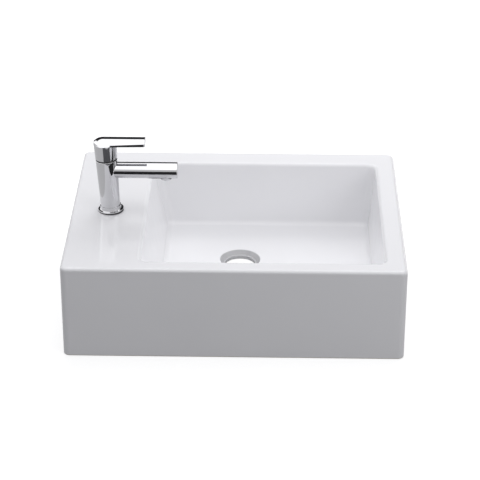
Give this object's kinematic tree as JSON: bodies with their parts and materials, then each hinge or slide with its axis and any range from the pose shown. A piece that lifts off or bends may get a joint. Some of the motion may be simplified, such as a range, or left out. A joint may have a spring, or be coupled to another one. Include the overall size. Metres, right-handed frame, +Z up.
{
  "type": "countertop basin with mixer tap",
  "caption": "Rectangular glazed ceramic countertop basin with a tap ledge on the left, a flared waste hole and a leaning single-lever chrome mixer with a level round spout.",
  "frame": {"origin": "middle of the underside, on the counter", "axes": "+X to the right as seen from the front, +Y to the back, +Z up; the tap ledge is at -X"},
  "size_m": [0.5, 0.4, 0.265],
  "materials": {
    "glaze": "white gloss glaze",
    "chrome": "polished chrome on brass or zinc",
    "brass": "turned brass",
    "steel": "zinc plated steel",
    "rubber": "black moulded rubber",
    "cartridge_plastic": "moulded plastic",
    "trim_plastic": "moulded plastic",
    "disc_ceramic": "lapped alumina",
    "ring_plastic": "black moulded plastic"
  },
  "bodies": {
    "basin_and_tap": {"basin": "glaze", "mixer_body": "chrome", "base_flange": "chrome", "base_seal": "rubber", "cartridge_base": "cartridge_plastic", "cartridge_seals": "rubber", "fixed_disc": "disc_ceramic", "cartridge_housing": "cartridge_plastic", "housing_seal": "rubber", "cartridge_nut": "brass", "cover_ring": "ring_plastic", "aerator_housing": "chrome", "aerator_insert": "trim_plastic", "aerator_washer": "rubber", "fixing_stud": "steel", "clamp_washer": "rubber", "clamp_plate": "steel", "fixing_nut": "brass"},
    "swivel": {"cartridge_rotor": "cartridge_plastic", "pivot_pin": "steel", "rotor_seal": "rubber"},
    "lever": {"handle": "chrome", "lever_stem": "brass", "grub_screw": "steel", "index_plug": "trim_plastic"},
    "disc": {"disc_carrier": "cartridge_plastic", "moving_disc": "disc_ceramic"}
  },
  "joints": [
    {"name": "temperature_swing", "type": "hinge", "parent": "basin_and_tap", "child": "swivel", "pos_m": [-0.19445, -0.0104, 0.2203], "axis": [-0.0523, 0, 0.9986], "range_deg": [-45, 45]},
    {"name": "lever_lift", "type": "hinge", "parent": "swivel", "child": "lever", "pos_m": [-0.19445, -0.0104, 0.2203], "axis": [0, -1, 0], "range_deg": [0, 20]},
    {"name": "disc_travel", "type": "slide", "parent": "swivel", "child": "disc", "axis": [0.9986, 0, 0.0523], "range_m": [0, 0.0036]}
  ],
  "couplings": [
    {"joint": "disc_travel", "follows": "lever_lift", "m_per_rad": 0.0099}
  ]
}
